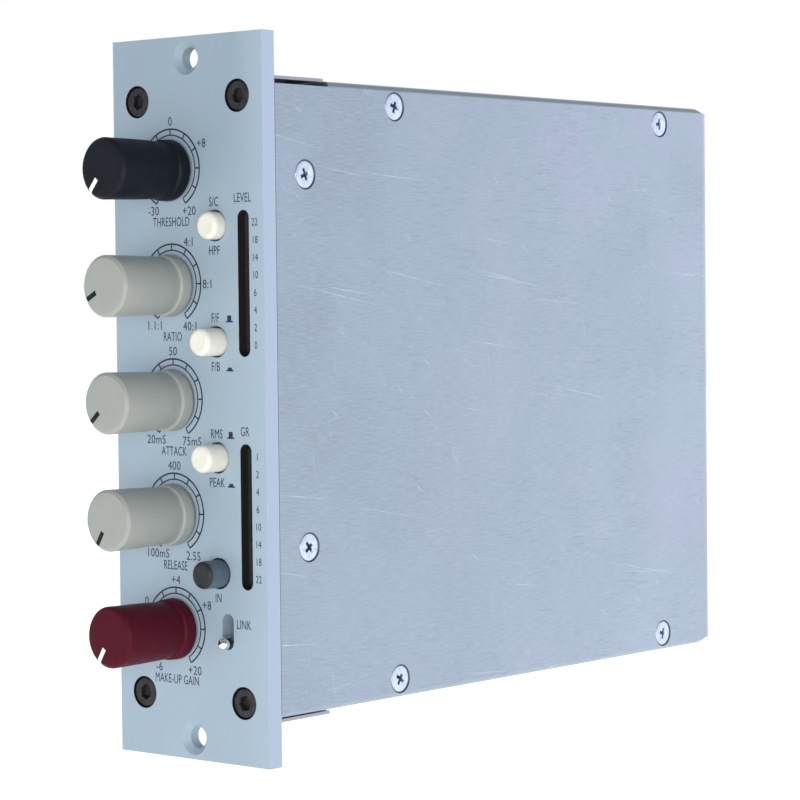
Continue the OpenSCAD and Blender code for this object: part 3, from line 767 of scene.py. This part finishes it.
def knob_outline(length, grip_r, skirt_r):
    """Outline of a knob from the centre of its face to its foot and up into its bore."""
    neck_r = grip_r - 0.42
    skirt_top = length - 2.4
    foot_r = skirt_r - 0.25
    bore_r, bore_end = 3.03, 4.4
    points = [(0.0, 0.04), (grip_r * 0.55, 0.03)] + rim_points(grip_r)
    points += [(grip_r - 0.10, length * 0.40), (grip_r - 0.20, length * 0.62),
               (grip_r - 0.30, skirt_top - 1.5), (neck_r, skirt_top - 0.75)]
    points += arc(neck_r + 0.55, skirt_top - 0.42, 0.55, 180, 110, 6)
    points += arc(skirt_r - 0.36, skirt_top + 0.34, 0.26, -62, -6, 5)
    points += [(skirt_r - 0.03, length - 0.9)]
    points += arc(skirt_r - 0.14, length - 0.16, 0.14, 0, 90, 4)
    points += [(foot_r - 0.3, length), (foot_r - 0.6, length - 0.35), (bore_r + 0.35, length - 0.35),
               (bore_r, length - 0.1), (bore_r, bore_end), (0.0, bore_end - 0.3)]
    return points


def pointer_paint_outline(grip_r):
    """The paint's outline in radius and depth: along the face, over the rim, down the side."""
    start = POINTER_START + 0.03
    side = grip_r - PAINT_SUNK
    outline = [(start, PAINT_SUNK)] + rim_points(grip_r, PAINT_SUNK)
    outline += [(side, POINTER_DROP - 0.02), (side - GROOVE, POINTER_DROP - 0.02),
                (side - GROOVE, KNOB_RIM + 0.1), (side - KNOB_RIM - 0.1, GROOVE + PAINT_SUNK),
                (start, GROOVE + PAINT_SUNK)]
    return outline


def groove_outline(grip_r):
    """The groove that the paint lies in, open beyond the knob's face and side."""
    out = 1.0
    floor = GROOVE - 0.02
    return [(POINTER_START, -out), (grip_r + out, -out), (grip_r + out, POINTER_DROP),
            (grip_r - floor, POINTER_DROP), (grip_r - floor, KNOB_RIM + 0.1),
            (grip_r - KNOB_RIM - 0.1, floor), (POINTER_START, floor)]


def build_knob(name, knob_look, pointer_look, knob_slot, pointer_slot):
    node = name + "_knob"
    low, high = low_mm(node), high_mm(node)
    length = high.y - low.y
    skirt_r = (high.x - low.x) / 2
    grip_r = skirt_r - GRIP_INSIDE_SKIRT
    bm = bmesh.new()
    lathe(bm, knob_outline(length, grip_r, skirt_r), 128)
    body = mesh_from(bm, node)

    def across(u, v, w):
        return (w, v, u)

    bm = bmesh.new()
    prism(bm, groove_outline(grip_r), -POINTER_W / 2, POINTER_W / 2, across)
    body = carved(body, mesh_from(bm, "groove"))
    bm = bmesh.new()
    half = POINTER_W / 2 - 0.02
    prism(bm, pointer_paint_outline(grip_r), -half, half, across)
    paint = mesh_from(bm, name + "_pointer_line")
    centre = middle_mm(node)
    move = (Matrix.Translation((centre.x, low.y, centre.z))
            @ Matrix.Rotation(math.radians(pointer_angle(name)), 4, "Y"))
    riding = name + "_control"
    piece(name + "_grip", body, knob_look, riding, knob_slot, node, move=move)
    piece(name + "_pointer_line", paint, pointer_look, riding, pointer_slot,
          name + "_pointer", move=move)


def build_knobs():
    grey = moulded_plastic("knob_grey", (0.330, 0.340, 0.304), 0.44, spread=0.015)
    black = moulded_plastic("knob_black", (0.0068, 0.0088, 0.0125), 0.52, spread=0.08, gloss=0.14)
    red = moulded_plastic("knob_red", (0.074, 0.0045, 0.0125), 0.50, spread=0.06, gloss=0.10)
    white_paint = moulded_plastic("pointer_white", (0.88, 0.88, 0.85), 0.45)
    black_paint = moulded_plastic("pointer_black", (0.010, 0.011, 0.008), 0.6, spread=0.1,
                                  gloss=0.2)
    for name in KNOBS:
        if name == "threshold":
            build_knob(name, black, white_paint, "knob_black", "pointer_white")
        elif name == "gain":
            build_knob(name, red, white_paint, "knob_red", "pointer_white")
        else:
            build_knob(name, grey, black_paint, "knob_grey", "pointer_black")


# ---------------------------------------------------------------- push buttons and the lever

def cap_outline(length, radius):
    """A button cap: nearly flat front, soft edge, straight side and a hollow back."""
    edge = 0.85
    wall = 0.9
    points = [(0.0, 0.05), (radius * 0.4, 0.04), (radius - edge - 0.15, 0.0)]
    points += arc(radius - edge, edge, edge, -90, 0, 9)
    points += [(radius, length - 0.3), (radius - 0.2, length), (radius - wall + 0.15, length),
               (radius - wall, length - 0.2), (radius - wall, length - 0.8), (0.0, length - 0.8)]
    return points


def slate_plastic():
    """The IN cap: a dark, nearly matt front, and a side painted a paler blue-grey as painted light.
    """
    look = Look("cap_slate", {"Specular IOR Level": 0.25})
    edge = 0.9
    mottle = look.field(1.1, detail=5, rough=0.65)
    fine = look.field(0.08, detail=2)
    front = look.ramp(mottle, (0.3, (0.018, 0.021, 0.024)), (0.7, (0.027, 0.030, 0.033)))
    # Painted light: the side is painted a paler blue-grey than the front.
    side = look.ramp(mottle, (0.3, (0.075, 0.108, 0.135)), (0.7, (0.100, 0.138, 0.165)))
    low = low_mm("in_cap").y
    look.colour(look.mix(look.span(look.axis("Y"), low + edge * 0.4, low + edge), front, side))
    look.rough(look.span(mottle, 0.3, 0.7, 0.34, 0.48))
    look.relief((mottle, 0.003), (fine, 0.004))
    return look.mat


def build_caps():
    ivory = moulded_plastic("cap_ivory", (0.80, 0.77, 0.66), 0.34, spread=0.02)
    slate = slate_plastic()
    for name in BUTTONS:
        node = name + "_cap"
        low, high = low_mm(node), high_mm(node)
        bm = bmesh.new()
        lathe(bm, cap_outline(high.y - low.y, (high.x - low.x) / 2), 72)
        centre = middle_mm(node)
        look, slot = (slate, "cap_slate") if name == "in" else (ivory, "cap_white")
        piece(name + "_button_cap", mesh_from(bm, node), look, name + "_button", slot, node,
              move=Matrix.Translation((centre.x, low.y, centre.z)))


def build_lever():
    """Chrome lever: a ball on a waisted stem, and the pin that it turns on."""
    joint = joint_of("link_throw")
    pivot = Vector(joint["pos_m"]) / MM
    tilt = joint["range_deg"][1] / 2
    ball_r, stem_r, root_r, tail = 1.15, 0.72, 0.95, 2.4
    pin_r, pin_half = 0.5, 2.8
    box_low = low_mm("link_lever")
    arm = (pivot.y - (box_low.y + ball_r)) / math.cos(math.radians(tilt))
    outline = [(0.0, -arm - ball_r)]
    outline += arc(0.0, -arm, ball_r, -85, 46, 26)
    outline += [(stem_r, -arm + ball_r * 0.86), (stem_r * 0.98, -arm + 1.8),
                (root_r, -1.2), (root_r, tail - 0.2), (root_r - 0.2, tail), (0.0, tail)]
    bm = bmesh.new()
    lathe(bm, outline, 64)
    stem = mesh_from(bm, "stem")
    bm = bmesh.new()
    edge = 0.08
    lathe(bm, [(0.0, -pin_half), (pin_r - edge, -pin_half), (pin_r, -pin_half + edge),
               (pin_r, pin_half - edge), (pin_r - edge, pin_half), (0.0, pin_half)], 40)
    pin = mesh_from(bm, "pin")
    turn = Matrix.Rotation(math.radians(tilt), 4, "X")
    lay = Matrix.Rotation(math.radians(90), 4, "Z")
    lever = gather([(stem, turn), (pin, lay)], "lever")
    piece("chrome_lever", lever, chrome(), "link_toggle", "lever_chrome", "link_lever",
          move=Matrix.Translation(pivot))


# ---------------------------------------------------------------- screws

def thread(shank_r, start, length):
    """Outline of a threaded shank from its first groove to the middle of its end."""
    pitch, groove, point = 0.5, 0.2, 0.25
    points = []
    along = start
    while along + pitch < length:
        points += [(shank_r - groove, along), (shank_r, along + pitch * 0.45),
                   (shank_r, along + pitch * 0.6)]
        along += pitch
    return points + [(shank_r - point, length), (0.0, length)]


def flat_screw_mesh(length):
    """Countersunk cross-recess screw: its face at y = 0 and its shank along +Y."""
    head_r, cone_end, shank_r = 2.5, 0.95, 1.2
    outline = [(0.0, 0.0), (1.7, 0.012), (2.2, 0.05), (head_r - 0.06, 0.11), (head_r, 0.19),
               (head_r - 0.04, 0.26), (shank_r, cone_end)]
    outline += thread(shank_r, cone_end + 0.2, length)
    bm = bmesh.new()
    lathe(bm, outline, 64)
    head = mesh_from(bm, "flat_screw")
    cuts = []
    for turn in (0, 90):
        bm = bmesh.new()
        spin = Matrix.Rotation(math.radians(turn), 3, "Y")
        stack(bm, [[spin @ Vector((su * reach, depth, sv * half_w))
                    for su, sv in ((-1, -1), (1, -1), (1, 1), (-1, 1))]
                   for reach, depth, half_w in ((1.42, -0.25, 0.40), (0.80, 0.62, 0.22))])
        cuts.append(mesh_from(bm, "cross"))
    return carved(head, *cuts)


def build_side_screws():
    """The cover's six screws and the left wall's six, each turned its own way."""
    one = solids_of("cover_screws")[0]
    look = bright_zinc("side_screw_zinc", one[2].x)
    screw = flat_screw_mesh(one[2].x - one[1].x)
    for node, name, side in (("cover_screws", "cover_screw_heads", 1),
                             ("wall_screws", "wall_screw_heads", -1)):
        placed = []
        for i, (centre, low, high) in enumerate(solids_of(node)):
            face_x = high.x if side > 0 else low.x
            spin = Matrix.Rotation(math.radians(17 + 71 * i), 4, "Y")
            lay = Matrix.Rotation(math.radians(90 * side), 4, "Z")
            placed.append((screw, Matrix.Translation((face_x, centre.y, centre.z)) @ lay @ spin))
        piece(name, gather(placed, name), look, CASE, "bright_screw", node)


def build_panel_screws():
    """Black low-head socket screws in the panel's corners."""
    head_r, head_h, shank_r = 2.75, 2.0, 1.2
    edge = 0.28
    solids = solids_of("panel_screws")
    length = solids[0][2].y - solids[0][1].y
    outline = [(0.0, 0.0), (head_r - edge - 0.3, 0.0)]
    outline += arc(head_r - edge, edge, edge, -90, 0, 5)
    outline += [(head_r, head_h - 0.1), (head_r - 0.1, head_h), (shank_r, head_h)]
    outline += thread(shank_r, head_h + 0.3, length)
    bm = bmesh.new()
    lathe(bm, outline, 72)
    screw = mesh_from(bm, "socket_screw")
    key_r, mouth = 2.5 / 2 / math.cos(math.radians(30)), 0.15
    corners = [math.radians(60 * i) for i in range(6)]
    bm = bmesh.new()
    stack(bm, [[(radius * math.sin(a), depth, radius * math.cos(a)) for a in corners]
               for radius, depth in ((key_r + mouth, -0.05), (key_r, mouth), (key_r, 1.2),
                                     (0.2, 1.45))])
    screw = carved(screw, mesh_from(bm, "key"))
    placed = []
    for i, (centre, low, _) in enumerate(solids):
        spin = Matrix.Rotation(math.radians(11 + 23 * i), 4, "Y")
        placed.append((screw, Matrix.Translation((centre.x, low.y, centre.z)) @ spin))
    piece("panel_screw_heads", gather(placed, "panel_screw_heads"), black_oxide(), CASE,
          "black_screw", "panel_screws")


# ---------------------------------------------------------------- printed legends

INK_T = 0.03
# Height of the capitals and narrowing of the letters, for words, dial numbers, light numbers
WORD_SIZE = (1.76, 0.67)
DIAL_SIZE = (1.70, 0.92)
LIGHT_SIZE = (1.42, 0.76)
RING_OUT, RING_IN, RING_LINE = 7.52, 6.12, 0.31
SCALE_R = 8.85
# The printed dials are centred a little left of and above the knobs
DIAL_SHIFT = (-0.1, 0.28)
TITLE_DROP = 9.65
WORD_RISE = 4.45
PICTOGRAM_SIDE, PICTOGRAM_DROP = 3.35, 0.2
LIGHT_NUMBER_SIDE, LIGHT_TITLE_RISE = 2.8, 3.4
LINK_WORD_SIDE, LINK_WORD_RISE = 3.95, 1.6

SCALES = {
    "threshold": ("THRESHOLD", (("-30", -149), ("0", 0), ("+8", 60), ("+20", 149))),
    "ratio": ("RATIO", (("1.1:1", -149), ("4:1", 30), ("8:1", 90), ("40:1", 149))),
    "attack": ("ATTACK", (("20mS", -149), ("50", 0), ("75mS", 149))),
    "release": ("RELEASE", (("100mS", -149), ("400", 0), ("2.5S", 149))),
    "gain": ("MAKE-UP GAIN", (("-6", -149), ("0", -60), ("+4", 0), ("+8", 60), ("+20", 149))),
}
BUTTON_WORDS = {"filter": ("S/C", "HPF"), "feed": ("F/F", "F/B"), "detector": ("RMS", "PEAK"),
                "in": ("", "IN")}
LEVEL_NUMBERS = ("22", "18", "14", "10", "6", "4", "2", "0")
REDUCTION_NUMBERS = ("1", "2", "4", "6", "10", "14", "18", "22")


def word_mesh(text, caps_h, squeeze):
    """Raised printing of one word, centred on x = 0, z = 0, facing -Y, in millimetres."""
    curve = bpy.data.curves.new("word", "FONT")
    curve.body = text
    curve.align_x = "CENTER"
    curve.size = 1.0
    curve.extrude = 0.5
    curve.resolution_u = 3
    curve.space_character = 1.04
    holder = bpy.data.objects.new("word", curve)
    bpy.context.scene.collection.objects.link(holder)
    bpy.context.view_layer.update()
    depsgraph = bpy.context.evaluated_depsgraph_get()
    mesh = bpy.data.meshes.new_from_object(holder.evaluated_get(depsgraph))
    bpy.data.objects.remove(holder)
    bpy.data.curves.remove(curve)
    font_caps = 0.729
    grow = caps_h / font_caps
    mesh.transform(Matrix.Translation((0, 0, -caps_h / 2))
                   @ Matrix.Diagonal((grow * squeeze, INK_T, grow, 1))
                   @ Matrix.Rotation(math.radians(90), 4, "X"))
    return mesh


def ink_place(x, z):
    """Where printing centred on x, z lies: half sunk into the panel's front face."""
    return Matrix.Translation((x, PANEL_FRONT, z))


def ring_mesh():
    """A dial's scale: two arcs over 300 degrees, joined by a line every 30 degrees."""
    bm = bmesh.new()

    def flat(u, v, w):
        return (u, w, v)

    def band(r_in, r_out, start, stop, steps):
        for i in range(steps):
            a = math.radians(start + (stop - start) * i / steps)
            b = math.radians(start + (stop - start) * (i + 1) / steps)
            outline = [(r_in * math.sin(a), r_in * math.cos(a)),
                       (r_out * math.sin(a), r_out * math.cos(a)),
                       (r_out * math.sin(b), r_out * math.cos(b)),
                       (r_in * math.sin(b), r_in * math.cos(b))]
            prism(bm, outline, -INK_T / 2, INK_T / 2, flat)

    half_turn, tick = 150, 30
    steps = 100
    band(RING_OUT - RING_LINE, RING_OUT, -half_turn, half_turn, steps)
    band(RING_IN, RING_IN + RING_LINE * 0.8, -half_turn, half_turn, steps)
    for angle in range(-half_turn, half_turn + 1, tick):
        half = math.degrees(RING_LINE / 2 / RING_OUT)
        inner = RING_IN + RING_LINE * 0.8
        band(inner, RING_OUT - RING_LINE, angle - half, angle + half, 1)
    bmesh.ops.remove_doubles(bm, verts=bm.verts, dist=1e-4)
    bm.verts.index_update()
    seen = {}
    for face in bm.faces:
        key = tuple(sorted(v.index for v in face.verts))
        seen.setdefault(key, []).append(face)
    inner_walls = [f for faces in seen.values() if len(faces) > 1 for f in faces]
    bmesh.ops.delete(bm, geom=inner_walls, context="FACES_ONLY")
    return mesh_from(bm, "ring")


def pictogram_mesh(tall):
    """A push button drawn from the side: a line with a block on it, tall when it is out."""
    bm = bmesh.new()
    base_w, base_h, block_w = 1.7, 0.28, 1.0
    block_h = 1.0 if tall else 0.42
    outline = [(-base_w / 2, -0.7), (base_w / 2, -0.7), (base_w / 2, -0.7 + base_h),
               (block_w / 2, -0.7 + base_h), (block_w / 2, -0.7 + base_h + block_h),
               (-block_w / 2, -0.7 + base_h + block_h), (-block_w / 2, -0.7 + base_h),
               (-base_w / 2, -0.7 + base_h)]
    prism(bm, outline, -INK_T / 2, INK_T / 2, lambda u, v, w: (u, w, v))
    return mesh_from(bm, "pictogram")


def build_legends():
    """Every printed mark on the panel, as one piece of raised ink."""
    printed = []

    def word(text, x, z, size=WORD_SIZE):
        if text:
            printed.append((word_mesh(text, *size), ink_place(x, z)))

    for name, (title, numbers) in SCALES.items():
        knob = middle_mm(name + "_knob")
        dial = Vector((knob.x + DIAL_SHIFT[0], 0, knob.z + DIAL_SHIFT[1]))
        printed.append((ring_mesh(), ink_place(dial.x, dial.z)))
        word(title, dial.x, dial.z - TITLE_DROP)
        for text, angle in numbers:
            a = math.radians(angle)
            reach = SCALE_R + 0.3 * max(0.0, math.sin(a))
            word(text, dial.x + reach * math.sin(a), dial.z + reach * math.cos(a), DIAL_SIZE)
    for name, (above, below) in BUTTON_WORDS.items():
        centre = middle_mm(name + "_cap")
        word(above, centre.x - 0.2, centre.z + WORD_RISE)
        word(below, centre.x - 0.2, centre.z - WORD_RISE)
        if name == "feed" or name == "detector":
            for rise, tall in ((WORD_RISE, True), (-WORD_RISE, False)):
                place = ink_place(centre.x + PICTOGRAM_SIDE, centre.z + rise - PICTOGRAM_DROP)
                printed.append((pictogram_mesh(tall), place))
    for node, numbers, title in (("level_lights", LEVEL_NUMBERS, "LEVEL"),
                                 ("reduction_lights", REDUCTION_NUMBERS, "GR")):
        low, high = low_mm(node), high_mm(node)
        centre = middle_mm(node)
        lens = high.x - low.x
        pitch = (high.z - low.z - lens) / (len(numbers) - 1)
        for i, text in enumerate(numbers):
            row = (len(numbers) - 1) / 2 - i
            word(text, centre.x + LIGHT_NUMBER_SIDE, centre.z + row * pitch, LIGHT_SIZE)
        word(title, centre.x - 0.2, high.z + LIGHT_TITLE_RISE)
    lever = middle_mm("link_switch")
    word("LINK", lever.x + LINK_WORD_SIDE, lever.z + LINK_WORD_RISE)
    legend = gather(printed, "panel_legend")
    piece("panel_legend", legend, printed_ink(), CASE, "pointer_black")


# ---------------------------------------------------------------- looks of the CAD nodes

def dress(node, look, bevel=0.0, segments=3):
    """Gives a CAD node its material and, where wanted, soft edges."""
    obj = NODES[node]
    if not obj.material_slots:
        obj.data.materials.append(look)
    for material_slot in obj.material_slots:
        material_slot.material = look
    if bevel:
        soft = obj.modifiers.new("soft_edges", "BEVEL")
        soft.width = bevel * MM
        soft.segments = segments
        soft.limit_method = "ANGLE"
        soft.angle_limit = math.radians(40)
        soft.use_clamp_overlap = True
        soft.harden_normals = False


def dress_case():
    dress("front_panel", panel_paint(), 0.22, 4)
    dress("side_cover", cover_zinc(), 0.06)
    dress("chassis", plain_zinc("chassis_zinc", (1, 14, 1), 0.7, (0.41, 0.46, 0.52)), 0.10)
    dress("front_bracket", plain_zinc("bracket_zinc", (14, 1, 1), 0.5, (0.46, 0.48, 0.52)), 0.10)


def dress_inside():
    bright = bright_zinc("bright_zinc")
    steel = turned_metal("spacer_metal", (0.62, 0.63, 0.65))
    board = board_laminate()
    gold = turned_metal("contact_gold", (0.80, 0.58, 0.20), 0.3)
    black = moulded_plastic("switch_black", (0.014, 0.014, 0.016), 0.45, spread=0.15)
    slate = moulded_plastic("switch_slate", (0.050, 0.062, 0.070), 0.5, spread=0.1)
    pot_metal = turned_metal("pot_metal", (0.36, 0.37, 0.39), 0.42)
    shaft_metal = turned_metal("shaft_metal", (0.60, 0.61, 0.63), 0.33)
    smoked = smoked_acrylic()
    for node, look in (("main_board", board), ("control_board", board), ("board_screws", bright),
                       ("spacer_screws", bright), ("board_header", black),
                       ("level_window", smoked), ("reduction_window", smoked)):
        dress(node, look, 0.1)
    dress("edge_contacts", gold)
    dress("board_standoffs", steel, 0.15)
    dress("control_spacers", steel, 0.15)
    for name in KNOBS:
        dress(name + "_pot", pot_metal, 0.2)
        dress(name + "_shaft", shaft_metal, 0.15)
    plunger = moulded_plastic("plunger_white", (0.78, 0.78, 0.74), 0.4, spread=0.03)
    for name in BUTTONS:
        dress(name + "_switch", black, 0.15)
        dress(name + "_plunger", plunger, 0.12)
    dress("link_switch", slate, 0.15)
    dress("level_lights", lamp_lens("light_green", (0.05, 0.30, 0.09)), 0.12)
    dress("reduction_lights", lamp_lens("light_amber", (0.45, 0.24, 0.03)), 0.12)
    dress("input_transformer", plain_zinc("transformer_can", (1, 1, 1.5), 0.6, (0.34, 0.35, 0.38)),
          0.25)
    dress("output_transformer", wound_core(), 0.15)
    dress("electrolytic_capacitors",
          moulded_plastic("capacitor_sleeve", (0.02, 0.025, 0.07), 0.3, spread=0.08), 0.3)
    dress("film_capacitors", moulded_plastic("film_red", (0.42, 0.04, 0.025), 0.35), 0.3)
    dress("amplifier_chips", black, 0.12)
    dress("bypass_relay", moulded_plastic("relay_cream", (0.75, 0.72, 0.60), 0.4), 0.3)


# ---------------------------------------------------------------- the whole scene

def main():
    bpy.context.scene.view_settings.view_transform = "Standard"
    build_camera()
    build_world()
    build_lights()
    build_floor()
    dress_case()
    dress_inside()
    build_knobs()
    build_caps()
    build_lever()
    build_side_screws()
    build_panel_screws()
    build_legends()


main()
